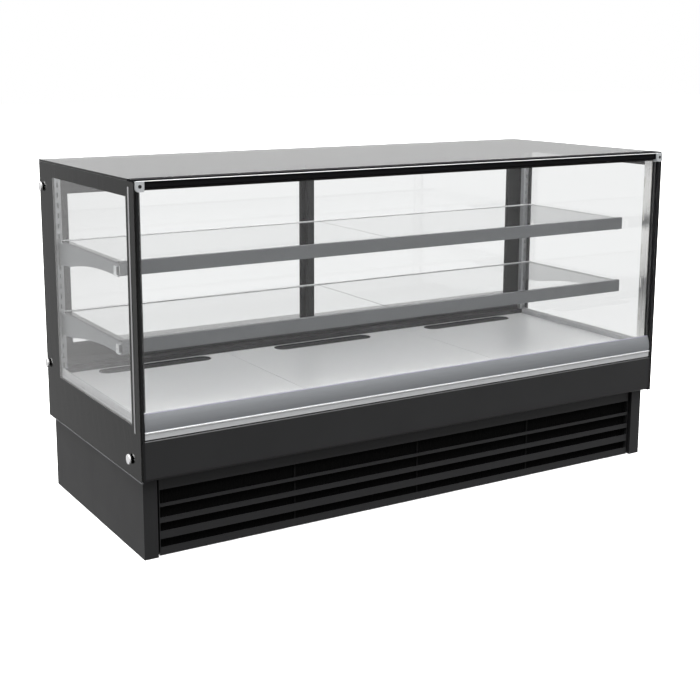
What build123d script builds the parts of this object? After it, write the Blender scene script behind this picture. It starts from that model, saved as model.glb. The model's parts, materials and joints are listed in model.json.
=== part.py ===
from build123d import *
import os

# Refrigerated deli case, 1800 mm class, flat front glass, two glass shelves, rear sliding doors.
# Millimetres. Origin on the floor under the middle of the case. +X right, -Y customer side, +Z up.

# ---- driving dimensions ----
CASE_WIDTH = 1800.0
CASE_DEPTH = 736.0
CASE_HEIGHT = 1007.0
BODY_BOTTOM = 223.0
DECK_TOP = 370.0

SIDE_GLASS_THICKNESS = 6.0
SIDE_FRAME_THICKNESS = 6.0
TOP_GLASS_THICKNESS = 6.0
TOP_PROFILE_FRONT = -366.0
TOP_PROFILE_REAR = -330.0
FRONT_GLASS_THICKNESS = 6.0
SHEET = 1.5
GAP = 0.5

PLINTH_WIDTH = 1773.0
PLINTH_FRONT = -340.0
PLINTH_REAR = 355.0
PLINTH_POST_WIDTH = 40.0
PLINTH_POST_DEPTH = 26.0
GRILLE_RECESS = 8.0
GRILLE_END_GAP = 8.0
GRILLE_HEADER_BOTTOM = 184.0
BLADE_BOTTOMS = (136.5, 92.0, 47.0, 2.0)
BLADE_FACES = (9.5, 15.0, 22.0, 22.0)
BLADE_RETURN = 16.0

WINDOW_FRONT = -308.0
WINDOW_REAR = 257.0
WINDOW_BOTTOM = 365.0
WINDOW_TOP = 961.0

FRONT_GLASS_FACE = -356.0
FRONT_GLASS_TOP = 983.0
RAIL_BOTTOM = 337.0
RAIL_RIDGE = 355.0
RAIL_TOP = 403.0
HINGE_Y = -360.5
HINGE_Z = 343.5
HINGE_PIN_RADIUS = 3.0
HINGE_CLEARANCE = 0.05

SHELF_LEVELS = {"upper": 781.0, "lower": 571.0}
SHELF_RAIL_HEIGHT = 38.0
SHELF_FRONT = -222.0
SHELF_REAR = 240.0
SHELF_GLASS_THICKNESS = 6.0
SHELF_SEAM = -25.0
UPRIGHT_FACE = 268.0
UPRIGHT_DEPTH = 16.0
UPRIGHT_WIDTH = 21.0
SLOT_PITCH = 30.0
SLOT_FIRST = 397.0
SLOT_COUNT = 19

DECK_SEAM = 343.0
DECK_SHEET = 3.0
VENT_CENTRE = 597.0
VENT_LENGTH = 362.0
VENT_WIDTH = 58.0
VENT_Y = 236.0

DOOR_THICKNESS = 16.0
DOOR_STILE = 54.0
MEETING_STILE = 24.0
MEETING_X = -11.0
DOOR_OVERLAP = 6.0
DOOR_BOTTOM = 390.0
DOOR_TOP = 962.0
DOOR_BOTTOM_RAIL = 444.0
DOOR_TOP_RAIL = 906.0
DOOR_GLASS_THICKNESS = 5.0
TRACK_FACE = 304.0
TRACK_FIN = 3.0
TRACK_GROOVE = 18.0
SILL_FRONT = 274.0
SILL_FLOOR = 386.0
SILL_LIP = 398.0
HEADER_FRONT = 298.0
HEADER_FLOOR = 966.0
HEADER_LIP = 950.0

BUTTON_RADIUS = 4.0
BUTTON_SPACING = 12.0
CONTROLLER_X = -600.0
CONTROL_Z = 300.0
SWITCH_X = -500.0
GLAND_X = 800.0
GLAND_Z = 262.0
PANEL_OUT = 6.0
SWITCH_TILT = 8.0
SWITCH_PIN_RADIUS = 1.5

TUB_HALF = 886.0
TUB_FRONT = -338.0
TUB_REAR = 345.0
TUB_WALL = 40.0
TUB_FLOOR = 263.0
FASCIA_TOP = 333.5
DRAIN_X = -600.0
DRAIN_RADIUS = 12.0
DRAIN_HOLE_RADIUS = 11.0
DRAIN_SLEEVE_TOP = 200.0
EVAP_FAN_X = 250.0
EVAP_FAN_Y = 60.0
EVAP_FAN_Z = 313.0
EVAP_FAN_RADIUS = 37.0

RAIL_POCKET = 366.0
PATCH_FRONT = -374.0
LOCK_X = 885.0
LOCK_Z = 990.0
LOCK_RADIUS = 4.5
PIPE_RADIUS = 4.0

TRAY_TOP = 52.0
COMPRESSOR_X = 660.0
COMPRESSOR_Y = 110.0
COMPRESSOR_RADIUS = 78.0
COIL_X0, COIL_X1 = 250.0, 570.0
COIL_Y0, COIL_Y1 = -240.0, -180.0
COIL_Z0, COIL_Z1 = 56.0, 206.0
COIL_TUBE = 5.0
FAN_RADIUS = 58.0
FAN_Y = -158.0

# ---- places worked out from the driving dimensions ----
half_width = CASE_WIDTH / 2
front = -CASE_DEPTH / 2
rear = CASE_DEPTH / 2
inner_half = half_width - SIDE_GLASS_THICKNESS - SIDE_FRAME_THICKNESS
deck_bottom = DECK_TOP - DECK_SHEET
top_glass_bottom = CASE_HEIGHT - TOP_GLASS_THICKNESS
side_top = top_glass_bottom - GAP
plinth_half = PLINTH_WIDTH / 2
grille_half = plinth_half - PLINTH_POST_WIDTH - GRILLE_END_GAP
track_rear = TRACK_FACE + 3 * TRACK_FIN + 2 * TRACK_GROOVE
bracket_x = inner_half - GAP - UPRIGHT_WIDTH / 2
fan_x = (COIL_X0 + COIL_X1) / 2
fan_z = (COIL_Z0 + COIL_Z1) / 2


def block(x0, x1, y0, y1, z0, z1):
    """A box between two corners."""
    size = Box(abs(x1 - x0), abs(y1 - y0), abs(z1 - z0))
    return Pos((x0 + x1) / 2, (y0 + y1) / 2, (z0 + z1) / 2) * size


def rod_x(x0, x1, y, z, radius):
    """A round bar along X."""
    return Pos((x0 + x1) / 2, y, z) * Rot(0, 90, 0) * Cylinder(radius, abs(x1 - x0))


def rod_y(x, y0, y1, z, radius):
    """A round bar along Y."""
    return Pos(x, (y0 + y1) / 2, z) * Rot(90, 0, 0) * Cylinder(radius, abs(y1 - y0))


def rod_z(x, y, z0, z1, radius):
    """A round bar along Z."""
    return Pos(x, y, (z0 + z1) / 2) * Cylinder(radius, abs(z1 - z0))


def extrude_x(outline, x0, x1):
    """A bar along X from a closed outline of (y, z) points."""
    loop = Polyline(*[(x0, y, z) for y, z in outline], close=True)
    return extrude(make_face(loop), abs(x1 - x0), dir=(1, 0, 0))


def side_pair(make):
    """The same piece on the left (-1) and on the right (+1)."""
    return [make(-1), make(1)]


def group(solids):
    return Compound(children=[solid for shape in solids for solid in shape.solids()])


def tube_run(points, radii, radius):
    """A pipe of straight runs joined by arcs."""
    path = FilletPolyline(*points, radius=radii)
    section = Plane(origin=path @ 0, z_dir=path % 0) * Circle(radius)
    return sweep(section, path=path)


# ---- base, plinth and feet ----
def plinth_side(side):
    """Folded side sheet with the front corner post and a rear return."""
    outer = side * plinth_half
    inner = side * (plinth_half - SHEET)
    post = side * (plinth_half - PLINTH_POST_WIDTH)
    low, high = 1.0, BODY_BOTTOM - GAP
    sheet = block(outer, inner, PLINTH_FRONT, PLINTH_REAR, low, high)
    face = block(outer, post, PLINTH_FRONT, PLINTH_FRONT + SHEET, low, high)
    cheek = block(post, post + side * SHEET, PLINTH_FRONT, PLINTH_FRONT + PLINTH_POST_DEPTH, low, high)
    back = block(outer, side * (plinth_half - 20), PLINTH_REAR - SHEET, PLINTH_REAR, low, high)
    return sheet + face + cheek + back


def louvre_grille():
    """Lift-out front grille: header, four blades with a bottom return, end plates and stiffeners."""
    face = PLINTH_FRONT + GRILLE_RECESS
    back = face + BLADE_RETURN
    panel = block(-grille_half, grille_half, face, face + SHEET, GRILLE_HEADER_BOTTOM, BODY_BOTTOM - GAP)
    for bottom, height in zip(BLADE_BOTTOMS, BLADE_FACES):
        panel += block(-grille_half, grille_half, face, face + SHEET, bottom, bottom + height)
        panel += block(-grille_half, grille_half, face, back, bottom, bottom + SHEET)
    for side in (-1, 1):
        end = side * grille_half
        panel += block(end - side * SHEET, end, face, back, BLADE_BOTTOMS[-1], BODY_BOTTOM - GAP)
    for x in (-420, 0, 420):
        panel += block(x - 2, x + 2, back - SHEET, back + 3, BLADE_BOTTOMS[-1], BODY_BOTTOM - GAP)
        panel += block(x - 2, x + 2, face, back, GRILLE_HEADER_BOTTOM, GRILLE_HEADER_BOTTOM + SHEET)
    return panel


def plinth_rear_panel():
    """Rear access sheet with two banks of air slots."""
    edge = plinth_half - 22
    panel = block(-edge, edge, PLINTH_REAR - SHEET, PLINTH_REAR, 12, BODY_BOTTOM - GAP)
    for bank in (-430, 430):
        for row in range(8):
            z = 50 + 18 * row
            slot = Pos(bank, PLINTH_REAR, z) * Rot(90, 0, 0) * extrude(SlotOverall(320, 8), 6, both=True)
            panel -= slot
    return panel


def base_frame():
    """Welded channel frame with a tray for the condensing unit."""
    low, high = 20.0, 50.0
    frame = Part()
    for y0, y1 in ((-310, -270), (300, 340)):
        frame += block(-880, 880, y0, y1, low, low + 2)
        frame += block(-880, 880, y0, y0 + 2, low, high)
        frame += block(-880, 880, y1 - 2, y1, low, high)
    for x in (-860, -300, 160, 860):
        frame += block(x - 15, x + 15, -272, 302, low, low + 2)
        frame += block(x - 15, x - 13, -272, 302, low, high)
        frame += block(x + 13, x + 15, -272, 302, low, high)
    frame += block(150, 875, -310, 340, high, TRAY_TOP)
    return frame


def levelling_feet():
    """Six screw feet: round pad, hexagon nut and stud."""
    feet = []
    for x in (-830, 0, 830):
        for y in (-290, 320):
            pad = rod_z(x, y, 0, 7, 22)
            nut = Pos(x, y, 7) * extrude(RegularPolygon(11, 6), 6)
            feet.append(pad + nut + rod_z(x, y, 12, 20, 5))
    return group(feet)


# ---- condensing unit ----
def compressor():
    """Hermetic can on a foot plate, with its stub and the terminal box on its side."""
    can = rod_z(COMPRESSOR_X, COMPRESSOR_Y, 68, 206, COMPRESSOR_RADIUS)
    can = fillet(can.edges().filter_by(GeomType.CIRCLE), 28)
    seam = rod_z(COMPRESSOR_X, COMPRESSOR_Y, 134, 140, COMPRESSOR_RADIUS + 3)
    plate = block(COMPRESSOR_X - 100, COMPRESSOR_X + 100, COMPRESSOR_Y - 65, COMPRESSOR_Y + 65, 64, 70)
    stub = rod_x(COMPRESSOR_X - COMPRESSOR_RADIUS - 16, COMPRESSOR_X - 40, COMPRESSOR_Y + 20, 110, 6)
    box = block(COMPRESSOR_X - 30, COMPRESSOR_X + 30, COMPRESSOR_Y - 118, COMPRESSOR_Y - 60, 150, 186)
    return can + seam + plate + stub + fillet(box.edges().filter_by(Axis.Y), 5)


def compressor_mounts():
    """Four rubber grommets between the foot plate and the tray."""
    places = [(x, y) for x in (-84, 84) for y in (-50, 50)]
    return group([rod_z(COMPRESSOR_X + x, COMPRESSOR_Y + y, TRAY_TOP, 64, 12) for x, y in places])


def return_bends(x, side, y, z_first, pitch, count, radius):
    """Half-round bends that join neighbouring coil tubes at one end of the coil."""
    bends = Part()
    for step in range(0, count, 2):
        z = z_first + pitch * (step + 0.5)
        ring = Pos(x, y, z) * Rot(90, 0, 0) * Torus(pitch / 2, radius)
        keep = block(x, x + side * (pitch + radius), y - radius - 1, y + radius + 1, z - pitch, z + pitch)
        bends += ring & keep
    return bends


def condenser_coil():
    """Fin block between two end plates, with return bends."""
    coil = block(COIL_X0 + 2, COIL_X1 - 2, COIL_Y0 + 3, COIL_Y1 - 3, COIL_Z0 + 3, COIL_Z1 - 3)
    grooves = 26
    step = (COIL_X1 - COIL_X0 - 12) / grooves
    for index in range(grooves):
        x = COIL_X0 + 6 + step * (index + 0.5)
        coil -= block(x - 3.6, x + 3.6, COIL_Y0, COIL_Y0 + 9, COIL_Z0 + 6, COIL_Z1 - 6)
    for x0 in (COIL_X0, COIL_X1 - 2):
        coil += block(x0, x0 + 2, COIL_Y0, COIL_Y1, COIL_Z0, COIL_Z1)
    for x, side in ((COIL_X0, -1), (COIL_X1, 1)):
        coil += return_bends(x, side, (COIL_Y0 + COIL_Y1) / 2, COIL_Z0 + 15, 20, 6, COIL_TUBE)
    return coil


def condenser_shroud():
    """Plate with a round mouth behind the coil, and a skirt that meets it."""
    y0, y1 = COIL_Y1, COIL_Y1 + 34
    shell = block(COIL_X0, COIL_X1, y0, y1, COIL_Z0, COIL_Z1)
    shell -= block(COIL_X0 + 2, COIL_X1 - 2, y0 - 1, y1 - 2, COIL_Z0 + 2, COIL_Z1 - 2)
    return shell - rod_y(fan_x, y0, y1 + 1, fan_z, FAN_RADIUS + 4)


def condenser_motor():
    """Fan motor on a three-legged stand, with the shaft that carries the fan."""
    body = rod_y(fan_x, FAN_Y + 26, FAN_Y + 78, fan_z, 27)
    body = fillet(body.edges().filter_by(GeomType.CIRCLE), 4)
    shaft = rod_y(fan_x, FAN_Y - 6, FAN_Y + 30, fan_z, 3)
    stand = block(fan_x - 30, fan_x + 30, FAN_Y + 40, FAN_Y + 64, TRAY_TOP, TRAY_TOP + 3)
    stand += block(fan_x - 12, fan_x + 12, FAN_Y + 48, FAN_Y + 54, TRAY_TOP, fan_z - 20)
    return body + shaft + stand


def axial_fan(x, y, z, radius, hub_radius, hub_length, shaft_radius, blades):
    """Fan wheel about a shaft along Y: a bored hub with pitched blades."""
    wheel = rod_y(0, -hub_length / 2, hub_length / 2, 0, hub_radius)
    span = radius - hub_radius + 3
    for index in range(blades):
        blade = Pos(hub_radius - 3 + span / 2, 0, 0) * Rot(35, 0, 0) * Box(span, 1.6, radius * 0.55)
        wheel += Rot(0, 360 / blades * index, 0) * blade
    wheel &= rod_y(0, -radius, radius, 0, radius)
    wheel -= rod_y(0, -hub_length, hub_length, 0, shaft_radius + HINGE_CLEARANCE)
    return Pos(x, y, z) * wheel


def refrigerant_pipes():
    """Copper lines: discharge to the coil, liquid line through the drier, suction from the case above."""
    stub_x = COMPRESSOR_X - COMPRESSOR_RADIUS - 16
    stub_y = COMPRESSOR_Y + 20
    coil_y = (COIL_Y0 + COIL_Y1) / 2
    discharge = [(stub_x, stub_y, 110), (530, stub_y, 110), (530, -100, 110), (600, -100, 110)]
    discharge += [(600, coil_y, 110), (600, coil_y, 190), (COIL_X1, coil_y, 190)]
    drier = rod_x(430, 520, 230, 80, 12)
    drier = fillet(drier.edges().filter_by(GeomType.CIRCLE), 5)
    liquid = drier + rod_x(400, 540, 230, 80, PIPE_RADIUS)
    riser = tube_run([(400, 230, 80), (340, 230, 80), (340, 230, BODY_BOTTOM)], [18], PIPE_RADIUS)
    inlet_route = [(540, 230, 80), (760, 230, 80), (760, 230, 180), (760, 180, 180)]
    inlet = tube_run(inlet_route, [18, 18], PIPE_RADIUS)
    return group([tube_run(discharge, [14, 20, 20, 14, 12], PIPE_RADIUS), liquid + riser + inlet])


# ---- insulated body ----
def insulated_tub():
    """Foamed tub that holds the evaporator, open at the top, with the drain hole."""
    tub = block(-TUB_HALF, TUB_HALF, TUB_FRONT, TUB_REAR, BODY_BOTTOM, deck_bottom)
    tub -= block(-TUB_HALF + TUB_WALL, TUB_HALF - TUB_WALL, TUB_FRONT + 42, TUB_REAR - TUB_WALL,
                 TUB_FLOOR, deck_bottom + 1)
    return tub - rod_z(DRAIN_X, 0, BODY_BOTTOM - 1, TUB_FLOOR + 1, DRAIN_HOLE_RADIUS)


def fascia():
    """Front skirt panel with a rounded lower edge and a small top bevel."""
    panel = block(-inner_half, inner_half, front, TUB_FRONT, BODY_BOTTOM, FASCIA_TOP)
    low = panel.edges().filter_by(Axis.X).sort_by(Axis.Z)[:2].sort_by(Axis.Y)[0]
    panel = fillet(low, 10)
    high = panel.edges().filter_by(Axis.X).sort_by(Axis.Z)[-2:].sort_by(Axis.Y)[0]
    return chamfer(high, 2)


def rear_panel():
    """Staff-side sheet with the cut-outs for the controller, the switch and the cable gland."""
    panel = block(-inner_half + GAP, inner_half - GAP, rear - 2, rear, BODY_BOTTOM, deck_bottom - 1)
    for x, half_x, half_z in ((CONTROLLER_X, 35.5, 14.5), (SWITCH_X, 11, 15.5)):
        panel -= block(x - half_x, x + half_x, rear - 3, rear + 1, CONTROL_Z - half_z, CONTROL_Z + half_z)
    return panel - rod_y(GLAND_X, rear - 3, rear + 1, GLAND_Z, 8)


def evaporator_coil():
    """Finned coil in the tub, between two end plates, with return bends."""
    x, y0, y1, z0, z1 = 500, 110, 210, 272, 352
    coil = block(-x + 2, x - 2, y0 + 3, y1 - 3, z0 + 3, z1 - 3)
    for index in range(28):
        place = -x + 18 + 34.4 * (index + 0.5)
        coil -= block(place - 12, place + 12, y0, y0 + 20, z0 + 6, z1 - 6)
    for side in (-1, 1):
        coil += block(side * (x - 2), side * x, y0, y1, z0, z1)
        coil += return_bends(side * x, side, (y0 + y1) / 2, z0 + 15, 16, 4, COIL_TUBE)
    return coil


def evaporator_plate():
    """Fan plate across the tub, with a motor held on straps behind each mouth."""
    plate = block(-640, 640, EVAP_FAN_Y, EVAP_FAN_Y + SHEET, TUB_FLOOR, deck_bottom)
    motors = []
    for side in (-1, 1):
        x = side * EVAP_FAN_X
        plate -= rod_y(x, EVAP_FAN_Y - 1, EVAP_FAN_Y + 3, EVAP_FAN_Z, EVAP_FAN_RADIUS + 4)
        motor = rod_y(x, EVAP_FAN_Y - 44, EVAP_FAN_Y - 18, EVAP_FAN_Z, 17)
        motor += rod_y(x, EVAP_FAN_Y - 20, EVAP_FAN_Y + 6, EVAP_FAN_Z, 3)
        motor += block(x - 5, x + 5, EVAP_FAN_Y - 30, EVAP_FAN_Y - 27, EVAP_FAN_Z - 47, EVAP_FAN_Z + 47)
        for z in (EVAP_FAN_Z - 47, EVAP_FAN_Z + 44):
            motor += block(x - 5, x + 5, EVAP_FAN_Y - 30, EVAP_FAN_Y, z, z + 3)
        motors.append(motor)
    return group([plate] + motors)


def drain_pipe():
    """Hose spigot, a thinner neck through the tub floor, and a flange that rests on it."""
    pipe = rod_z(DRAIN_X, 0, 120, DRAIN_SLEEVE_TOP, DRAIN_RADIUS)
    pipe += rod_z(DRAIN_X, 0, DRAIN_SLEEVE_TOP, TUB_FLOOR, DRAIN_HOLE_RADIUS - 0.3)
    pipe += rod_z(DRAIN_X, 0, TUB_FLOOR, TUB_FLOOR + 2, DRAIN_HOLE_RADIUS + 6)
    return pipe - rod_z(DRAIN_X, 0, 119, TUB_FLOOR + 3, DRAIN_RADIUS - 3)


def deck_panel(x0, x1, vent_x):
    """Lift-out deck sheet with its long round-ended air vent."""
    panel = block(x0, x1, TUB_FRONT, SILL_FRONT - 1, deck_bottom, DECK_TOP)
    return panel - Pos(vent_x, VENT_Y, DECK_TOP) * extrude(SlotOverall(VENT_LENGTH, VENT_WIDTH), 8, both=True)


def deck_trim(side):
    """Angled kick strip that closes the joint between the deck and the side."""
    x0, x1 = side * (inner_half - 2), side * (inner_half - 14)
    strip = block(x0, x1, TUB_FRONT, UPRIGHT_FACE - 1, DECK_TOP, DECK_TOP + 20)
    top = strip.edges().filter_by(Axis.Y).sort_by(Axis.Z)[-2:].sort_by(Axis.X)
    return chamfer(top[-1] if side < 0 else top[0], 6)


# ---- glass superstructure ----
def side_frame(side):
    """Four bars behind the side glass, and the pin that the front rail turns on."""
    x0, x1 = side * inner_half, side * (half_width - SIDE_GLASS_THICKNESS)
    bars = [block(x0, x1, front, WINDOW_FRONT, BODY_BOTTOM, side_top)]
    bars.append(block(x0, x1, WINDOW_REAR, rear, BODY_BOTTOM, side_top))
    bars.append(block(x0, x1, WINDOW_FRONT, WINDOW_REAR, BODY_BOTTOM, WINDOW_BOTTOM))
    bars.append(block(x0, x1, WINDOW_FRONT, WINDOW_REAR, WINDOW_TOP, side_top))
    bars.append(rod_x(x0, side * (inner_half - 16), HINGE_Y, HINGE_Z, HINGE_PIN_RADIUS))
    return group(bars)


def side_glass(side):
    x0, x1 = side * (half_width - SIDE_GLASS_THICKNESS), side * half_width
    return block(x0, x1, front, rear, BODY_BOTTOM, side_top)


def standoff_fixings():
    """Disc-headed glass fixings, three on each side."""
    fixings = []
    for side in (-1, 1):
        for y, z in ((-295, 270), (346, 928), (352, 390)):
            stem = rod_x(side * half_width, side * (half_width + 4), y, z, 8)
            disc = rod_x(side * (half_width + 4), side * (half_width + 8), y, z, 13.5)
            rim = disc.edges().filter_by(GeomType.CIRCLE).sort_by(Axis.X)
            disc = fillet(rim[-1] if side > 0 else rim[0], 1)
            fixings.append(stem + disc)
    return group(fixings)


def front_post(side):
    """Slotted aluminium post on the inner face of the side, behind the front glass."""
    x0, x1 = side * (inner_half - 8), side * inner_half
    post = block(x0, x1, -345, -312, DECK_TOP + 20, FRONT_GLASS_TOP)
    for index in range(5):
        z = 450 + 110 * index
        post -= block(x0, x0 + side * 4, -320, -314, z, z + 34)
    return post


def top_glass():
    pane = block(-half_width, half_width, TOP_PROFILE_REAR + GAP, rear, top_glass_bottom, CASE_HEIGHT)
    return chamfer(pane.edges().filter_by(Axis.X).group_by(Axis.Z)[-1], 1)


def top_front_rail():
    """Black profile in front of the top glass; the closed front glass stands below its web."""
    low, half = FRONT_GLASS_TOP + 1.5, inner_half - GAP
    outline = [(-362, low), (-348, low), (-348, top_glass_bottom), (-364, top_glass_bottom), (-364, low + 2)]
    cap = block(-half_width, half_width, TOP_PROFILE_FRONT, TOP_PROFILE_REAR, top_glass_bottom, CASE_HEIGHT)
    return extrude_x(outline, -half, half) + cap


def lamp():
    """Light bar along the top front edge."""
    outline = [(-347, 985), (-326, 985), (-320, 992), (-320, side_top), (-347, side_top)]
    return extrude_x(outline, -inner_half + 8, inner_half - 8)


# ---- shelves ----
def shelf_upright(side):
    """Channel with a ladder of slots for the shelf brackets."""
    x0, x1 = side * (inner_half - GAP), side * (inner_half - GAP - UPRIGHT_WIDTH)
    middle = (x0 + x1) / 2
    post = block(x0, x1, UPRIGHT_FACE, UPRIGHT_FACE + UPRIGHT_DEPTH, SILL_FLOOR, 957)
    for index in range(SLOT_COUNT):
        z = SLOT_FIRST + SLOT_PITCH * index
        post -= block(middle - 2, middle + 2, UPRIGHT_FACE - 1, UPRIGHT_FACE + 9, z - 7, z + 7)
    return post


def shelf_bracket(side, level):
    """Arched bracket plate with a top flange and two hooks in the upright's slots."""
    middle = side * bracket_x
    seat = level - SHELF_GLASS_THICKNESS - 3
    front_end, seat_end = SHELF_FRONT + 17, SHELF_REAR - 11
    x = middle - 1.5
    edges = [Line((x, front_end, seat), (x, seat_end, seat))]
    edges += [Line((x, seat_end, seat), (x, seat_end, seat - 3))]
    edges += [Line((x, seat_end, seat - 3), (x, UPRIGHT_FACE, seat - 3))]
    edges += [Line((x, UPRIGHT_FACE, seat - 3), (x, UPRIGHT_FACE, seat - 70))]
    edges += [Line((x, UPRIGHT_FACE, seat - 70), (x, 170, seat - 62))]
    edges += [ThreePointArc((x, 170, seat - 62), (x, -10, seat - 37), (x, front_end, seat - 34))]
    edges += [Line((x, front_end, seat - 34), (x, front_end, seat))]
    plate = extrude(make_face(Curve() + edges), 3, dir=(1, 0, 0))
    plate += block(middle, middle - side * 16, front_end, seat_end, seat - 2, seat)
    for drop in (15, 45):
        plate += block(x, x + 3, UPRIGHT_FACE, UPRIGHT_FACE + 7, seat - drop - 5, seat - drop + 5)
    return plate


def bracket_clip(side, level):
    """Small clamp at the front end of a bracket that holds the shelf's front rail."""
    x0 = side * (bracket_x + 1.5)
    seat = level - SHELF_GLASS_THICKNESS - 3
    clip = block(x0, x0 + side * 6, SHELF_FRONT + 16, SHELF_FRONT + 36, seat - 32, seat - 4)
    return fillet(clip.edges().filter_by(Axis.X), 3)


def shelf_rails(level):
    """Front rail with a glass groove and a smaller rear edge rail."""
    half = inner_half - 8
    y, low = SHELF_FRONT, level - SHELF_RAIL_HEIGHT
    glass_top, glass_low = level - 2.8, level - 9.2
    face = [(y, low), (y, level), (y + 14, level), (y + 14, glass_top), (y + 3.5, glass_top)]
    face += [(y + 3.5, glass_low), (y + 14, glass_low), (y + 14, glass_low - 2.8), (y + 3, glass_low - 2.8)]
    face += [(y + 3, low + 3), (y + 14, low + 3), (y + 14, low)]
    lip, groove = SHELF_REAR - 10, SHELF_REAR - 3
    back = [(SHELF_REAR, glass_low - 1.8), (SHELF_REAR, glass_top + 1.3), (lip, glass_top + 1.3)]
    back += [(lip, glass_top), (groove, glass_top), (groove, glass_low)]
    back += [(lip, glass_low), (lip, glass_low - 1.8)]
    return group([extrude_x(face, -half, half), extrude_x(back, -half, half)])


def shelf_glass(level):
    """Two panes that meet at the seam."""
    half = inner_half - 9
    back = SHELF_REAR - 3.5
    low, high = level - 9, level - 3
    panes = [block(-half, SHELF_SEAM - 1, SHELF_FRONT + 4, back, low, high)]
    panes.append(block(SHELF_SEAM + 1, half, SHELF_FRONT + 4, back, low, high))
    return group(panes)


# ---- rear sliding doors ----
def track(face, base, floor, lip):
    """Bar with three fins that make two grooves; its base, groove floor and fin tips are heights."""
    outline = [(face, base), (rear - 1, base), (rear - 1, floor)]
    y = track_rear
    for _ in range(3):
        outline += [(y, floor), (y, lip), (y - TRACK_FIN, lip), (y - TRACK_FIN, floor)]
        y -= TRACK_FIN + TRACK_GROOVE
    outline.append((face, floor))
    return extrude_x(outline, -inner_half + GAP, inner_half - GAP)


def rear_jamb(side):
    x0, x1 = side * (inner_half - GAP), side * (inner_half - 6)
    return block(x0, x1, TRACK_FACE, track_rear, SILL_LIP, HEADER_LIP)


def door_sides(side):
    """Outer and meeting edges in X and the front face in Y of one sliding door."""
    groove = 1 if side < 0 else 0
    face = TRACK_FACE + TRACK_FIN + 1 + groove * (TRACK_GROOVE + TRACK_FIN)
    return side * (inner_half - 7), MEETING_X - side * DOOR_OVERLAP, face


def door_frame(side):
    """Door frame with a glass groove, runner feet and a recessed pull in the outer stile."""
    outer, meeting, face = door_sides(side)
    back = face + DOOR_THICKNESS
    x_in, x_out = meeting + side * MEETING_STILE, outer - side * DOOR_STILE
    frame = block(outer, meeting, face, back, DOOR_BOTTOM, DOOR_TOP)
    frame -= block(x_in, x_out, face - 1, back + 1, DOOR_BOTTOM_RAIL, DOOR_TOP_RAIL)
    glass = (DOOR_THICKNESS - DOOR_GLASS_THICKNESS) / 2
    frame -= block(x_in - side * 8, x_out + side * 8, face + glass, back - glass,
                   DOOR_BOTTOM_RAIL - 8, DOOR_TOP_RAIL + 8)
    for x in (outer - side * 110, meeting + side * 110):
        frame += block(x - 30, x + 30, face + 3, back - 3, DOOR_BOTTOM - 3.7, DOOR_BOTTOM)
    pull_x = outer - side * DOOR_STILE / 2
    recess = extrude(Rot(0, 0, 90) * SlotOverall(120, 24), 4, both=True)
    pull = Pos(pull_x, back, 640) * Rot(90, 0, 0) * recess
    return frame - pull


def door_glass(side):
    outer, meeting, face = door_sides(side)
    glass = (DOOR_THICKNESS - DOOR_GLASS_THICKNESS) / 2
    x0, x1 = meeting + side * (MEETING_STILE - 8), outer - side * (DOOR_STILE - 8)
    return block(x0, x1, face + glass, face + DOOR_THICKNESS - glass, DOOR_BOTTOM_RAIL - 8, DOOR_TOP_RAIL + 8)


# ---- tilting front glass ----
def front_rail():
    """Aluminium rail that holds the front glass and turns on two end pins."""
    half = inner_half - 1.5
    x, glass_back = -half, FRONT_GLASS_FACE + FRONT_GLASS_THICKNESS
    points = [(-366, RAIL_BOTTOM), (-366, RAIL_RIDGE - 3), (front, RAIL_RIDGE - 1.5)]
    points += [(front, RAIL_RIDGE + 1.5), (-366.6, RAIL_RIDGE + 3)]
    edges = [Line((x, *a), (x, *b)) for a, b in zip(points, points[1:])]
    crown = (FRONT_GLASS_FACE - 3, RAIL_TOP)
    edges += [ThreePointArc((x, *points[-1]), (x, -365.6, RAIL_RIDGE + 28), (x, *crown))]
    inside = [crown, (FRONT_GLASS_FACE - 0.2, RAIL_TOP), (FRONT_GLASS_FACE - 0.2, RAIL_POCKET)]
    inside += [(glass_back + 0.2, RAIL_POCKET), (glass_back + 0.2, RAIL_TOP), (glass_back + 4, RAIL_TOP)]
    inside += [(glass_back + 4, RAIL_BOTTOM), points[0]]
    edges += [Line((x, *a), (x, *b)) for a, b in zip(inside, inside[1:])]
    rail = extrude(make_face(Curve() + edges), 2 * half, dir=(1, 0, 0))
    bore = HINGE_PIN_RADIUS + HINGE_CLEARANCE
    for side in (-1, 1):
        rail -= rod_x(side * (half + 1), side * (half - 20), HINGE_Y, HINGE_Z, bore)
    return rail


def front_glass():
    half = inner_half - 1.5
    back = FRONT_GLASS_FACE + FRONT_GLASS_THICKNESS
    return block(-half, half, FRONT_GLASS_FACE, back, RAIL_POCKET, FRONT_GLASS_TOP)


def corner_patch(side):
    """Corner fitting bolted to the glass, with the seat for its quarter-turn lock."""
    x0, x1 = side * (half_width - 3), side * (half_width - 27)
    plate = block(x0, x1, PATCH_FRONT, front - GAP, 976, 1003)
    corner = plate.edges().filter_by(Axis.Y).group_by(Axis.Z)[0]
    plate = fillet(corner, 9)
    plate += block(x1, side * (inner_half - 2), front - GAP - 1, FRONT_GLASS_FACE, 976, FRONT_GLASS_TOP)
    return plate - rod_y(side * LOCK_X, PATCH_FRONT - 1, PATCH_FRONT + 5, LOCK_Z, LOCK_RADIUS + 0.3)


def corner_lock(side):
    """Slotted quarter-turn head."""
    head = rod_y(side * LOCK_X, PATCH_FRONT, PATCH_FRONT + 4.7, LOCK_Z, LOCK_RADIUS)
    x = side * LOCK_X
    return head - block(x - 4, x + 4, PATCH_FRONT - 1, PATCH_FRONT + 1.2, LOCK_Z - 0.6, LOCK_Z + 0.6)


# ---- staff-side controls ----
def button_x(index):
    return CONTROLLER_X + 5 + BUTTON_SPACING * index


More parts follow.
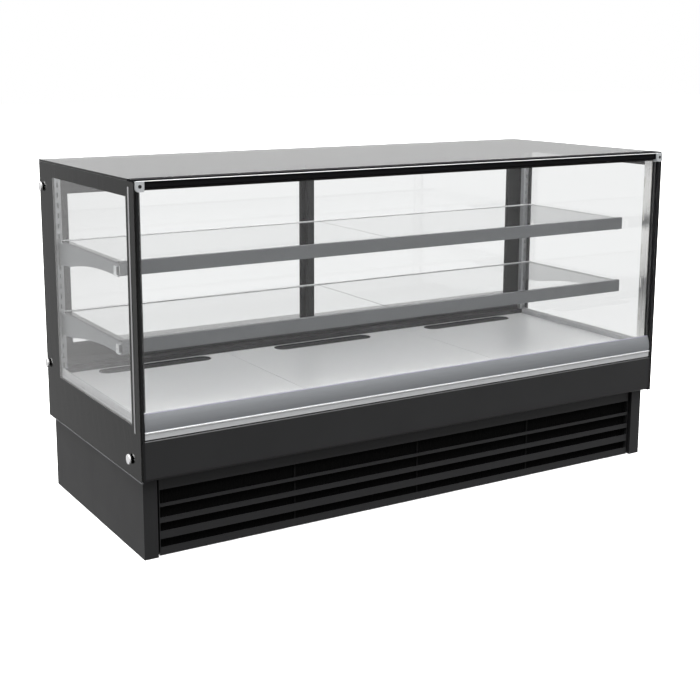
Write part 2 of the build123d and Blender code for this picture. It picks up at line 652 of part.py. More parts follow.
def controller():
    """Thermostat body behind the panel and its bezel, with a display recess and button wells."""
    body = block(CONTROLLER_X - 35, CONTROLLER_X + 35, rear - 16, rear, CONTROL_Z - 14, CONTROL_Z + 14)
    bezel = block(CONTROLLER_X - 39, CONTROLLER_X + 39, rear, rear + 4, CONTROL_Z - 18, CONTROL_Z + 18)
    body += fillet(bezel.edges().filter_by(Axis.Y), 3)
    body -= block(CONTROLLER_X - 33, CONTROLLER_X - 2, rear + 3, rear + 5, CONTROL_Z - 10, CONTROL_Z + 10)
    for index in range(3):
        body -= rod_y(button_x(index), rear - 1, rear + 5, CONTROL_Z, BUTTON_RADIUS + 0.4)
    return body


def button(index):
    cap = rod_y(button_x(index), rear + 0.6, rear + 5, CONTROL_Z, BUTTON_RADIUS)
    return fillet(cap.edges().filter_by(GeomType.CIRCLE).sort_by(Axis.Y)[-1], 0.6)


def switch_housing():
    """Open box behind the panel with a bezel and the cross pin that the rocker turns on."""
    z0, z1 = CONTROL_Z - 15, CONTROL_Z + 15
    shell = block(SWITCH_X - 10.5, SWITCH_X + 10.5, rear - 18, rear, z0, z1)
    shell += block(SWITCH_X - 13, SWITCH_X + 13, rear, rear + 2.5, CONTROL_Z - 18, CONTROL_Z + 18)
    shell -= block(SWITCH_X - 9, SWITCH_X + 9, rear - 16, rear + 3, CONTROL_Z - 13.8, CONTROL_Z + 13.8)
    return shell + rod_x(SWITCH_X - 9.5, SWITCH_X + 9.5, rear - 4, CONTROL_Z, SWITCH_PIN_RADIUS)


def power_switch():
    """Rocker paddle on its cross pin, resting on its lower side."""
    paddle = block(-8, 8, -3.5, 7, -12, 12)
    paddle = fillet(paddle.edges().filter_by(Axis.X).group_by(Axis.Y)[-1], 1.5)
    paddle -= rod_x(-9, 9, 0, 0, SWITCH_PIN_RADIUS + HINGE_CLEARANCE)
    return Pos(SWITCH_X, rear - 4, CONTROL_Z) * Rot(-SWITCH_TILT, 0, 0) * paddle


def cable_gland():
    """Panel gland for the mains cable."""
    nut = Pos(GLAND_X, rear, GLAND_Z) * Rot(-90, 0, 0) * extrude(RegularPolygon(12, 6), PANEL_OUT)
    nut += rod_y(GLAND_X, rear - 12, rear, GLAND_Z, 7.9)
    return nut - rod_y(GLAND_X, rear - 13, rear + PANEL_OUT + 1, GLAND_Z, 5)


def build_nodes():
    """Every piece of the case, by node name."""
    nodes = {
        "base_frame": base_frame(),
        "levelling_feet": levelling_feet(),
        "louvre_grille": louvre_grille(),
        "plinth_rear_panel": plinth_rear_panel(),
        "compressor": compressor(),
        "compressor_mounts": compressor_mounts(),
        "condenser_coil": condenser_coil(),
        "condenser_shroud": condenser_shroud(),
        "condenser_motor": condenser_motor(),
        "condenser_fan": axial_fan(fan_x, FAN_Y, fan_z, FAN_RADIUS, 18, 24, 3, 5),
        "refrigerant_pipes": refrigerant_pipes(),
        "insulated_tub": insulated_tub(),
        "fascia": fascia(),
        "rear_panel": rear_panel(),
        "evaporator_coil": evaporator_coil(),
        "evaporator_plate": evaporator_plate(),
        "drain_pipe": drain_pipe(),
        "deck_panel_left": deck_panel(-inner_half + 2, -DECK_SEAM - 0.75, -VENT_CENTRE),
        "deck_panel_middle": deck_panel(-DECK_SEAM + 0.75, DECK_SEAM - 0.75, 0),
        "deck_panel_right": deck_panel(DECK_SEAM + 0.75, inner_half - 2, VENT_CENTRE),
        "deck_trims": group(side_pair(deck_trim)),
        "standoff_fixings": standoff_fixings(),
        "front_posts": group(side_pair(front_post)),
        "top_glass": top_glass(),
        "top_front_rail": top_front_rail(),
        "lamp": lamp(),
        "shelf_uprights": group(side_pair(shelf_upright)),
        "shelf_brackets": group([shelf_bracket(side, z) for side in (-1, 1) for z in SHELF_LEVELS.values()]),
        "bracket_clips": group([bracket_clip(side, z) for side in (-1, 1) for z in SHELF_LEVELS.values()]),
        "rear_sill": track(SILL_FRONT, deck_bottom, SILL_FLOOR, SILL_LIP),
        "rear_header": track(HEADER_FRONT, side_top, HEADER_FLOOR, HEADER_LIP),
        "rear_jambs": group(side_pair(rear_jamb)),
        "front_rail": front_rail(),
        "front_glass": front_glass(),
        "corner_patches": group(side_pair(corner_patch)),
        "controller": controller(),
        "switch_housing": switch_housing(),
        "power_switch": power_switch(),
        "cable_gland": cable_gland(),
    }
    for name, side in (("left", -1), ("right", 1)):
        nodes[f"plinth_side_{name}"] = plinth_side(side)
        nodes[f"side_frame_{name}"] = side_frame(side)
        nodes[f"side_glass_{name}"] = side_glass(side)
        nodes[f"door_frame_{name}"] = door_frame(side)
        nodes[f"door_glass_{name}"] = door_glass(side)
        nodes[f"corner_lock_{name}"] = corner_lock(side)
        tub_fan = axial_fan(side * EVAP_FAN_X, EVAP_FAN_Y, EVAP_FAN_Z, EVAP_FAN_RADIUS, 13, 10, 3, 5)
        nodes[f"evaporator_fan_{name}"] = tub_fan
    for name, level in SHELF_LEVELS.items():
        nodes[f"shelf_rails_{name}"] = shelf_rails(level)
        nodes[f"shelf_glass_{name}"] = shelf_glass(level)
    for index, name in enumerate(("set", "down", "up")):
        nodes[f"button_{name}"] = button(index)
    return nodes


os.makedirs("parts", exist_ok=True)
for node_name, shape in build_nodes().items():
    export_step(shape, f"parts/{node_name}.step")
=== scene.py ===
import bmesh
import bpy
import json
import math
from mathutils import Matrix, Vector


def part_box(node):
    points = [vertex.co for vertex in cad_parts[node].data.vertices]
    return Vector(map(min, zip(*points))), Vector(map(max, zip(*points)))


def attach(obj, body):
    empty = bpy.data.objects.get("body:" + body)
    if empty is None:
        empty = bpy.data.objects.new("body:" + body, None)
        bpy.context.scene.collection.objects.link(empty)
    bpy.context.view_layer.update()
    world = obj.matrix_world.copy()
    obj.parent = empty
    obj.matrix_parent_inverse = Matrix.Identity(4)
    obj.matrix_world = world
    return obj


# Looks of the refrigerated deli case. Metres, in the CAD model's frame: +X right, -Y customer side, +Z up.
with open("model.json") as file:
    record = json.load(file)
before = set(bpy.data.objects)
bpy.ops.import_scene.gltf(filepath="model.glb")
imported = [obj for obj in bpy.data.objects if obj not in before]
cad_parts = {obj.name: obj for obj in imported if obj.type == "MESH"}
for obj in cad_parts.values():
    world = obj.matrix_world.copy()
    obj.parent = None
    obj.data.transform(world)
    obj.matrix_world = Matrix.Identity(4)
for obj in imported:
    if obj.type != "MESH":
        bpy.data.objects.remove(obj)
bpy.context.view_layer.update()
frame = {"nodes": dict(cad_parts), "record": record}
nodes = frame["nodes"]
slot_of_node = {row["node"]: row["material_slot"] for row in frame["record"]["subparts"]}
MM = 0.001
TOUCH = 0.02 * MM   # air left between a new piece and the face behind it
SNUG = 0.05 * MM    # air left between a new piece and an edge beside it
CAMERA_PLACE = (-2.039, -3.204, 1.306)
CAMERA_TURN = (90 - 10.73, 0, -30.69)
CAMERA_LENS = 63.3
CAMERA_SHIFT = (0.0377, -0.0866)
STEM_END = 904.05
RIDGE = (353.2, 356.8)
RAIL_FOOT = 330
SHELF_MIDDLE = 100
SHELF_BACK = 300
BLADE_FACE_DEPTH = 10
GRILLE_REACH = 40


# ---- materials ----
def new_tree(name):
    """An empty node material with a Principled shader and its output."""
    material = bpy.data.materials.new(name)
    material.use_nodes = True
    tree = material.node_tree
    shader = next(node for node in tree.nodes if node.type == "BSDF_PRINCIPLED")
    return material, tree, shader


def scaled_noise(tree, stretch, scale, detail=3.0):
    """Noise in object space, stretched by a factor on each axis."""
    place = tree.nodes.new("ShaderNodeTexCoord")
    mapping = tree.nodes.new("ShaderNodeMapping")
    mapping.inputs["Scale"].default_value = stretch
    noise = tree.nodes.new("ShaderNodeTexNoise")
    noise.inputs["Scale"].default_value = scale
    noise.inputs["Detail"].default_value = detail
    tree.links.new(place.outputs["Object"], mapping.inputs["Vector"])
    tree.links.new(mapping.outputs["Vector"], noise.inputs["Vector"])
    return noise.outputs["Fac"]


def spread(tree, source, low, high):
    """A number that follows a noise between low and high."""
    ranged = tree.nodes.new("ShaderNodeMapRange")
    ranged.inputs["From Min"].default_value = 0.3
    ranged.inputs["From Max"].default_value = 0.7
    ranged.inputs["To Min"].default_value = low
    ranged.inputs["To Max"].default_value = high
    tree.links.new(source, ranged.inputs["Value"])
    return ranged.outputs["Result"]


def tinted(tree, source, colour, swing):
    """A colour that follows a noise between a little darker and a little lighter."""
    ramp = tree.nodes.new("ShaderNodeValToRGB")
    ramp.color_ramp.elements[0].position = 0.3
    ramp.color_ramp.elements[1].position = 0.7
    ramp.color_ramp.elements[0].color = (*[channel * (1 - swing) for channel in colour], 1)
    ramp.color_ramp.elements[1].color = (*[min(1, channel * (1 + swing)) for channel in colour], 1)
    tree.links.new(source, ramp.inputs["Fac"])
    return ramp.outputs["Color"]


def bumped(tree, source, distance, strength=1.0):
    bump = tree.nodes.new("ShaderNodeBump")
    bump.inputs["Strength"].default_value = strength
    bump.inputs["Distance"].default_value = distance
    tree.links.new(source, bump.inputs["Height"])
    return bump.outputs["Normal"]


def surface(name, colour, rough, metallic=0.0, swing=0.06, rough_swing=0.05, cloud=(1, 1, 1), cloud_scale=9.0,
            grain=(1, 1, 1), grain_scale=900.0, grain_depth=0.00004, specular=0.5, coat=0.0, coat_rough=0.08):
    """A finish with slow colour and gloss variation and a fine grain in relief."""
    material, tree, shader = new_tree(name)
    clouds = scaled_noise(tree, cloud, cloud_scale)
    grains = scaled_noise(tree, grain, grain_scale, 2.0)
    tree.links.new(tinted(tree, clouds, colour, swing), shader.inputs["Base Color"])
    tree.links.new(spread(tree, clouds, rough - rough_swing, rough + rough_swing), shader.inputs["Roughness"])
    tree.links.new(bumped(tree, grains, grain_depth), shader.inputs["Normal"])
    shader.inputs["Metallic"].default_value = metallic
    shader.inputs["Specular IOR Level"].default_value = specular
    shader.inputs["Coat Weight"].default_value = coat
    shader.inputs["Coat Roughness"].default_value = coat_rough
    return material


def spangled(name, colour, rough):
    """Hot-dip zinc: flat crystals of slightly different brightness."""
    material, tree, shader = new_tree(name)
    place = tree.nodes.new("ShaderNodeTexCoord")
    cells = tree.nodes.new("ShaderNodeTexVoronoi")
    cells.inputs["Scale"].default_value = 110.0
    grey = tree.nodes.new("ShaderNodeRGBToBW")
    tree.links.new(place.outputs["Object"], cells.inputs["Vector"])
    tree.links.new(cells.outputs["Color"], grey.inputs["Color"])
    tree.links.new(tinted(tree, grey.outputs["Val"], colour, 0.16), shader.inputs["Base Color"])
    tree.links.new(spread(tree, grey.outputs["Val"], rough - 0.08, rough + 0.1), shader.inputs["Roughness"])
    fine = scaled_noise(tree, (1, 1, 1), 700.0)
    tree.links.new(bumped(tree, fine, 0.00003), shader.inputs["Normal"])
    shader.inputs["Metallic"].default_value = 1.0
    return material


def finned(name, colour, rough, pitch):
    """Thin aluminium fins across X, drawn as a sharp relief at their pitch, with painted shade: the colour also
    turns darker and lighter in stripes at the fin pitch, for the shade between the fins.
    """
    material, tree, shader = new_tree(name)
    place = tree.nodes.new("ShaderNodeTexCoord")
    wave = tree.nodes.new("ShaderNodeTexWave")
    wave.bands_direction = "X"
    wave.inputs["Scale"].default_value = 1 / (pitch * 20)
    wave.inputs["Distortion"].default_value = 0.6
    wave.inputs["Detail Scale"].default_value = 2.0
    tree.links.new(place.outputs["Object"], wave.inputs["Vector"])
    # Painted shade between the fins: the base colour follows the same wave as the relief.
    tree.links.new(tinted(tree, wave.outputs["Fac"], colour, 0.45), shader.inputs["Base Color"])
    tree.links.new(spread(tree, wave.outputs["Fac"], rough, rough + 0.2), shader.inputs["Roughness"])
    tree.links.new(bumped(tree, wave.outputs["Fac"], 0.0006), shader.inputs["Normal"])
    shader.inputs["Metallic"].default_value = 1.0
    return material


def glass(name, colour, rough=0.0):
    """Plain clear pane."""
    material, _, shader = new_tree(name)
    shader.inputs["Base Color"].default_value = (*colour, 1)
    shader.inputs["Roughness"].default_value = rough
    shader.inputs["Transmission Weight"].default_value = 1.0
    shader.inputs["IOR"].default_value = 1.5
    return material


def glowing(name, colour, strength):
    material, _, shader = new_tree(name)
    shader.inputs["Base Color"].default_value = (*colour, 1)
    shader.inputs["Emission Color"].default_value = (*colour, 1)
    shader.inputs["Emission Strength"].default_value = strength
    return material


BRUSH_X = (0.02, 1, 1)
BRUSH_Z = (1, 1, 0.02)
looks = {
    "galvanised_steel": spangled("galvanised_steel", (0.52, 0.53, 0.54), 0.42),
    "levelling_feet_zinc": spangled("levelling_feet_zinc", (0.42, 0.42, 0.43), 0.4),
    "black_powder_coat": surface("black_powder_coat", (0.018, 0.018, 0.019), 0.42, swing=0.05,
                                 rough_swing=0.02,
                                 grain_scale=1100.0),
    "fascia_black": surface("fascia_black", (0.02, 0.02, 0.021), 0.4, swing=0.05, rough_swing=0.02,
                            grain_scale=1300.0, grain_depth=0.00003),
    "black_border": surface("black_border", (0.012, 0.012, 0.013), 0.35, swing=0.02, rough_swing=0.01,
                            grain_depth=0.00001, specular=0.3),
    "cap_black": surface("cap_black", (0.008, 0.008, 0.009), 0.7, swing=0.03, rough_swing=0.02,
                         grain_depth=0.00002, specular=0.05),
    "compressor_black": surface("compressor_black", (0.015, 0.015, 0.015), 0.3, coat=0.4),
    "rubber": surface("rubber", (0.02, 0.02, 0.02), 0.75, grain_scale=500.0, grain_depth=0.0001),
    "fin_aluminium": finned("fin_aluminium", (0.62, 0.63, 0.64), 0.3, 0.0025),
    "black_plastic": surface("black_plastic", (0.022, 0.022, 0.023), 0.5, grain_scale=1500.0,
                             grain_depth=0.00006),
    "copper": surface("copper", (0.7, 0.34, 0.2), 0.3, metallic=1.0, swing=0.2, cloud_scale=40.0),
    "foam_body": surface("foam_body", (0.72, 0.73, 0.73), 0.4, grain_scale=300.0, grain_depth=0.00008),
    "white_deck": surface("white_deck", (0.93, 0.93, 0.935), 0.32, swing=0.01, rough_swing=0.03,
                          cloud_scale=4.0,
                          grain_scale=160.0, grain_depth=0.00001, specular=0.3, coat=0.05, coat_rough=0.05),
    "satin_aluminium": surface("satin_aluminium", (0.66, 0.66, 0.67), 0.3, metallic=1.0, swing=0.015,
                               rough_swing=0.02, grain=BRUSH_X, grain_scale=3000.0, grain_depth=0.00001,
                               cloud=BRUSH_X, cloud_scale=900.0),
    "post_aluminium": surface("post_aluminium", (0.92, 0.9, 0.87), 0.24, metallic=1.0, swing=0.16,
                              grain=BRUSH_Z, grain_scale=2600.0, grain_depth=0.00002, cloud=BRUSH_Z,
                              cloud_scale=260.0),
    "bead_grey": surface("bead_grey", (0.6, 0.6, 0.61), 0.35, metallic=0.6, swing=0.02, grain=BRUSH_Z,
                         grain_scale=2600.0, grain_depth=0.00001),
    "disc_bright": surface("disc_bright", (0.95, 0.95, 0.95), 0.3, metallic=0.2, swing=0.02, rough_swing=0.02,
                           grain_scale=1800.0, grain_depth=0.00001),
    "clamp_silver": surface("clamp_silver", (0.75, 0.77, 0.79), 0.38, metallic=0.5, swing=0.08,
                            cloud_scale=260.0,
                            grain_scale=1500.0, grain_depth=0.00003),
    "line_white": surface("line_white", (0.93, 0.93, 0.93), 0.2, swing=0.01, grain_depth=0.0, coat=0.5),
    "seal_grey": surface("seal_grey", (0.25, 0.245, 0.3), 0.5, swing=0.03, grain_scale=1200.0),
    "stainless": surface("stainless", (0.74, 0.75, 0.76), 0.16, metallic=1.0, swing=0.05, grain_scale=2200.0,
                         grain_depth=0.00001),
    "clear_glass": glass("clear_glass", (0.95, 0.955, 0.955)),
    "shelf_clear": glass("shelf_clear", (0.85, 0.855, 0.855)),
    "grey_paint": surface("grey_paint", (0.235, 0.25, 0.268), 0.36, metallic=0.35, swing=0.03,
                          rough_swing=0.03,
                          grain=BRUSH_X, grain_scale=2200.0, grain_depth=0.00001, cloud=BRUSH_X, cloud_scale=500.0),
    "light_paint": surface("light_paint", (0.24, 0.25, 0.26), 0.36, metallic=0.3, grain_scale=900.0),
    "upright_paint": surface("upright_paint", (0.4, 0.41, 0.42), 0.34, metallic=0.3, grain_scale=900.0),
    "rail_paint_and_highlight": surface("rail_paint_and_highlight", (0.28, 0.29, 0.305), 0.34, metallic=0.35, swing=0.03,
                          rough_swing=0.03,
                          grain=BRUSH_X, grain_scale=2200.0, grain_depth=0.00001, cloud=BRUSH_X, cloud_scale=500.0),
    "shelf_paint_and_highlight": surface("shelf_paint_and_highlight", (0.14, 0.146, 0.153), 0.36, metallic=0.3, swing=0.03,
                           rough_swing=0.03,
                           grain=BRUSH_X, grain_scale=2200.0, grain_depth=0.00001, cloud=BRUSH_X, cloud_scale=500.0),
    "grille_coat_and_painted_shade": surface("grille_coat_and_painted_shade", (0.018, 0.018, 0.019), 0.42, swing=0.05, rough_swing=0.02,
                           grain_scale=1100.0),
    "dark_anodised": surface("dark_anodised", (0.034, 0.034, 0.036), 0.36, metallic=0.4, swing=0.08,
                             grain=BRUSH_Z,
                             grain_scale=2400.0, grain_depth=0.00002, cloud=BRUSH_Z, cloud_scale=260.0),
    "drain_plastic": surface("drain_plastic", (0.45, 0.45, 0.46), 0.45),
    "button_grey": surface("button_grey", (0.32, 0.33, 0.35), 0.5),
    "switch_green": surface("switch_green", (0.05, 0.32, 0.1), 0.25, coat=0.3),
    "lamp_white": glowing("lamp_white", (1.0, 0.98, 0.95), 1.6),
    "display_black": surface("display_black", (0.006, 0.006, 0.007), 0.08, rough_swing=0.01, grain_depth=0.0),
    "display_digit": glowing("display_digit", (1.0, 0.12, 0.05), 2.2),
    "vent_black": surface("vent_black", (0.018, 0.018, 0.019), 0.5, swing=0.05, rough_swing=0.02,
                          grain_scale=1300.0, grain_depth=0.00003, specular=0.2),
    "frame_black": surface("frame_black", (0.01, 0.01, 0.011), 0.42, swing=0.05, rough_swing=0.02,
                           grain_scale=1100.0, specular=0.25),
    "filter_black": surface("filter_black", (0.006, 0.006, 0.006), 0.94, grain_scale=1400.0,
                            grain_depth=0.0001,
                            specular=0.05),
    "trim_light": surface("trim_light", (0.6, 0.6, 0.61), 0.3, swing=0.02, grain_scale=1600.0,
                          grain_depth=0.00001),
    "trim_grey": surface("trim_grey", (0.2, 0.2, 0.21), 0.4, metallic=0.5, swing=0.03, grain_scale=1600.0,
                         grain_depth=0.00001),
}
node_look = {
    "front_posts": "post_aluminium",
    "side_frame_left": "black_border",
    "side_frame_right": "black_border",
    "shelf_brackets": "light_paint",
    "shelf_uprights": "upright_paint",
    "standoff_fixings": "disc_bright",
    "corner_patches": "clamp_silver",
    "corner_lock_left": "dark_anodised",
    "corner_lock_right": "dark_anodised",
    "front_rail": "rail_paint_and_highlight",
    "door_frame_left": "frame_black",
    "door_frame_right": "frame_black",
    "shelf_glass_upper": "shelf_clear",
    "shelf_glass_lower": "shelf_clear",
    "top_front_rail": "cap_black",
    "deck_trims": "trim_light",
    "shelf_rails_upper": "shelf_paint_and_highlight",
    "shelf_rails_lower": "shelf_paint_and_highlight",
    "louvre_grille": "grille_coat_and_painted_shade",
}


def banded(look, axis, low, high, colour, rough=0.4):
    """Another colour and gloss where an object coordinate lies between two values in mm."""
    tree = looks[look].node_tree
    shader = next(node for node in tree.nodes if node.type == "BSDF_PRINCIPLED")
    place = tree.nodes.new("ShaderNodeTexCoord")
    split = tree.nodes.new("ShaderNodeSeparateXYZ")
    inside = tree.nodes.new("ShaderNodeMath")
    inside.operation = "COMPARE"
    inside.inputs[1].default_value = (low + high) / 2 * MM
    inside.inputs[2].default_value = (high - low) / 2 * MM
    tree.links.new(place.outputs["Object"], split.inputs["Vector"])
    tree.links.new(split.outputs[axis], inside.inputs[0])
    for socket, kind, value in (("Base Color", "RGBA", (*colour, 1)), ("Roughness", "FLOAT", rough)):
        mix = tree.nodes.new("ShaderNodeMix")
        mix.data_type = kind
        first, second = [item for item in mix.inputs if item.enabled and item.name in "AB"]
        second.default_value = value
        tree.links.new(shader.inputs[socket].links[0].from_socket, first)
        tree.links.new(inside.outputs["Value"], mix.inputs["Factor"])
        tree.links.new(next(item for item in mix.outputs if item.enabled), shader.inputs[socket])


# Painted highlight on the front rail: the lip from RAIL_FOOT up to the ridge is painted light grey in place of the
# reflection it shows, and the ridge band is painted near-white as a highlight line.
banded("rail_paint_and_highlight", "Z", RAIL_FOOT, RIDGE[0], (0.7, 0.71, 0.72), 0.34)
banded("rail_paint_and_highlight", "Z", *RIDGE, (0.95, 0.95, 0.95), 0.3)
# Painted highlight: the back part of each shelf rail, from SHELF_MIDDLE to SHELF_BACK in Y, is painted near-white to
# look lit.
banded("shelf_paint_and_highlight", "Y", SHELF_MIDDLE, SHELF_BACK, (0.85, 0.85, 0.86), 0.3)
banded("disc_bright", "X", -STEM_END, -899, (0.02, 0.02, 0.02))
banded("disc_bright", "X", 899, STEM_END, (0.02, 0.02, 0.02))
# Painted shade: behind its front faces, from BLADE_FACE_DEPTH to GRILLE_REACH deep, the louvre grille is painted
# almost black and matt for the shade inside the louvres.
grille_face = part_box("louvre_grille")[0].y / MM
banded("grille_coat_and_painted_shade", "Y", grille_face + BLADE_FACE_DEPTH, grille_face + GRILLE_REACH, (0.002, 0.002, 0.002),
       0.95)
for name, node in nodes.items():
    look = node_look.get(name, slot_of_node[name])
    node.data.materials.clear()
    node.data.materials.append(looks[look])


# ---- building helpers ----
def piece_from(name, mesh, body, look, smooth_angle=40):
    """A new piece of the object, riding on a body."""
    data = bpy.data.meshes.new(name)
    mesh.to_mesh(data)
    mesh.free()
    thing = bpy.data.objects.new(name, data)
    bpy.context.scene.collection.objects.link(thing)
    data.materials.append(looks[look])
    data.polygons.foreach_set("use_smooth", [True] * len(data.polygons))
    data.set_sharp_from_angle(angle=math.radians(smooth_angle))
    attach(thing, body)
    return thing


def add_bar(mesh, low, high, bevel=0.0):
    """A box between two corners, with its edges rounded."""
    size = [b - a for a, b in zip(low, high)]
    middle = [(a + b) / 2 for a, b in zip(low, high)]
    place = Matrix.Translation(middle) @ Matrix.Diagonal((*size, 1))
    made = bmesh.ops.create_cube(mesh, size=1.0, matrix=place)
    if bevel:
        edges = {edge for vertex in made["verts"] for edge in vertex.link_edges}
        bmesh.ops.bevel(mesh, geom=list(edges), offset=bevel, segments=3, profile=0.5, affect="EDGES")


def add_outline(mesh, points, x0, x1):
    """A bar along X from a closed outline of (y, z) points."""
    ends = [[mesh.verts.new((x, y, z)) for y, z in points] for x in (x0, x1)]
    count = len(points)
    for index in range(count):
        follow = (index + 1) % count
        mesh.faces.new((ends[0][index], ends[0][follow], ends[1][follow], ends[1][index]))
    mesh.faces.new(list(reversed(ends[0])))
    mesh.faces.new(ends[1])
    bmesh.ops.recalc_face_normals(mesh, faces=mesh.faces)


def add_turned(mesh, profile, matrix, steps=32):
    """A closed solid of revolution about local Z, from (radius, height) points that begin and end on its axis."""
    rings = []
    for radius, height in profile:
        if radius == 0:
            rings.append([mesh.verts.new(matrix @ Vector((0, 0, height)))])
            continue
        angles = [2 * math.pi * step / steps for step in range(steps)]
        rings.append([mesh.verts.new(matrix @ Vector((radius * math.cos(a), radius * math.sin(a), height)))
                      for a in angles])
    for ring, above in zip(rings, rings[1:]):
        for step in range(steps):
            follow = (step + 1) % steps
            corners = [ring[step % len(ring)], ring[follow % len(ring)],
                       above[follow % len(above)], above[step % len(above)]]
            mesh.faces.new(list(dict.fromkeys(corners)))
    bmesh.ops.recalc_face_normals(mesh, faces=mesh.faces)


def facing(point, direction):
    """A matrix at a point whose local Z looks along a direction."""
    turn = Vector(direction).to_track_quat("Z", "Y").to_matrix().to_4x4()
    return Matrix.Translation(point) @ turn


# ---- the photographer's set ----
FRONT_ROOM = 0.28
LEFT_ROOM = 0.4
HORIZON = 0.57
CEILING = 3.8
SOFTBOX_WATTS = 90.0


def camera():
    """The customer's view from the front left, a little above the top glass."""
    data = bpy.data.cameras.new("camera")
    data.sensor_width = 36.0
    data.lens = CAMERA_LENS
    data.shift_x, data.shift_y = CAMERA_SHIFT
    thing = bpy.data.objects.new("camera", data)
    thing.location = CAMERA_PLACE
    thing.rotation_euler = [math.radians(angle) for angle in CAMERA_TURN]
    bpy.context.scene.collection.objects.link(thing)
    bpy.context.scene.camera = thing


def studio_floor():
    """Pale floor that shows only a soft contact shadow."""
    mesh = bmesh.new()
    bmesh.ops.create_grid(mesh, x_segments=8, y_segments=8, size=30)
    data = bpy.data.meshes.new("floor")
    mesh.to_mesh(data)
    mesh.free()
    floor = bpy.data.objects.new("floor", data)
    bpy.context.scene.collection.objects.link(floor)
    material, tree, shader = new_tree("floor_pale")
    shader.inputs["Base Color"].default_value = (0.9, 0.9, 0.9, 1)
    shader.inputs["Roughness"].default_value = 0.9
    shader.inputs["Specular IOR Level"].default_value = 0.0
    shader.inputs["Emission Color"].default_value = (1, 1, 1, 1)
    shader.inputs["Emission Strength"].default_value = 0.35
    data.materials.append(material)
    floor.visible_glossy = False
    floor.visible_transmission = False
    floor.visible_diffuse = False


def smooth_step(tree, source, start, stop, low, high):
    """A number that turns smoothly from low to high while the source goes from start to stop."""
    step = tree.nodes.new("ShaderNodeMapRange")
    step.interpolation_type = "SMOOTHSTEP"
    for socket, value in (("From Min", start), ("From Max", stop), ("To Min", low), ("To Max", high)):
        step.inputs[socket].default_value = value
    tree.links.new(source, step.inputs["Value"])
    return step.outputs["Result"]


def combined(tree, operation, first, second):
    """Two numbers joined by one operation."""
    node = tree.nodes.new("ShaderNodeMath")
    node.operation = operation
    tree.links.new(first, node.inputs[0])
    tree.links.new(second, node.inputs[1])
    return node.outputs["Value"]


def studio_light():
    """White backdrop, a bright ceiling, a dim room in front and on the left, and a large overhead softbox."""
    world = bpy.data.worlds.new("studio")
    bpy.context.scene.world = world
    world.use_nodes = True
    tree = world.node_tree
    background = next(node for node in tree.nodes if node.type == "BACKGROUND")
    place = tree.nodes.new("ShaderNodeTexCoord")
    split = tree.nodes.new("ShaderNodeSeparateXYZ")
    tree.links.new(place.outputs["Generated"], split.inputs["Vector"])
    across, along, up = (split.outputs[axis] for axis in "XYZ")
    walls = smooth_step(tree, along, -0.65, -0.1, FRONT_ROOM, 1.0)
    walls = combined(tree, "MULTIPLY", walls, smooth_step(tree, across, -0.25, -0.05, LEFT_ROOM, 1.0))
    walls = combined(tree, "MULTIPLY", walls, smooth_step(tree, up, -0.02, 0.05, 1.0, HORIZON))
    walls = combined(tree, "MULTIPLY", walls, smooth_step(tree, up, -0.85, -0.3, 0.3, 1.0))
    room = combined(tree, "MAXIMUM", walls, smooth_step(tree, up, 0.35, 0.8, 0.0, CEILING))
    path = tree.nodes.new("ShaderNodeLightPath")
    seen = combined(tree, "MAXIMUM", path.outputs["Is Camera Ray"], path.outputs["Is Transmission Ray"])
    tree.links.new(combined(tree, "MAXIMUM", room, seen), background.inputs["Strength"])
    background.inputs["Color"].default_value = (1, 1, 1, 1)

    softbox = bpy.data.lights.new("softbox", "AREA")
    softbox.shape = "RECTANGLE"
    softbox.size = 4.0
    softbox.size_y = 3.0
    softbox.energy = SOFTBOX_WATTS
    thing = bpy.data.objects.new("softbox", softbox)
    thing.location = (-0.6, -0.4, 3.6)
    bpy.context.scene.collection.objects.link(thing)


camera()
studio_floor()
studio_light()
bpy.context.scene.view_settings.view_transform = "Standard"


# ---- pieces that CAD leaves to the looks ----
def top_edge_bead():
    """Bright bead under the dark cap along the front edge of the top."""
    low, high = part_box("top_front_rail")
    y, z, radius = low.y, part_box("top_glass")[0].z + 1.1 * MM, 1.15 * MM
    turns = [math.radians(angle) for angle in range(90, 271, 20)]
    mesh = bmesh.new()
    add_outline(mesh, [(y + radius * math.cos(a), z + radius * math.sin(a)) for a in turns],
                low.x + 8 * MM, high.x - 8 * MM)
    piece_from("top_edge_bead", mesh, "case", "line_white")


def glass_edge_seal():
    """Black edge profile on the top of the front glass, between its corner patches."""
    low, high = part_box("front_glass")
    wall, bottom, reach = 0.7 * MM, high.z - 4.5 * MM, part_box("corner_patches")[1].x - 24.5 * MM
    front, back = low.y - SNUG, high.y + SNUG
    points = [(front - wall, bottom), (front, bottom), (front, high.z + SNUG), (back, high.z + SNUG),
              (back, bottom), (back + wall, bottom), (back + wall, high.z + wall),
              (front - wall, high.z + wall)]
    mesh = bmesh.new()
    add_outline(mesh, points, -reach, reach)
    piece_from("glass_edge_seal", mesh, "front_glass", "rubber")


def corner_beads():
    """Narrow half-round profile on each side pane beside the front edge."""
    low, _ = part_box("side_glass_left")
    bottom, top = 349 * MM, 987 * MM
    for name, face, side in (("left", low.x, -1), ("right", -low.x, 1)):
        mesh = bmesh.new()
        x0, x1 = sorted((face, face + side * 1.2 * MM))
        add_bar(mesh, (x0, -337 * MM, bottom), (x1, -329 * MM, top), bevel=0.5 * MM)
        piece_from(f"corner_bead_{name}", mesh, "case", "bead_grey")


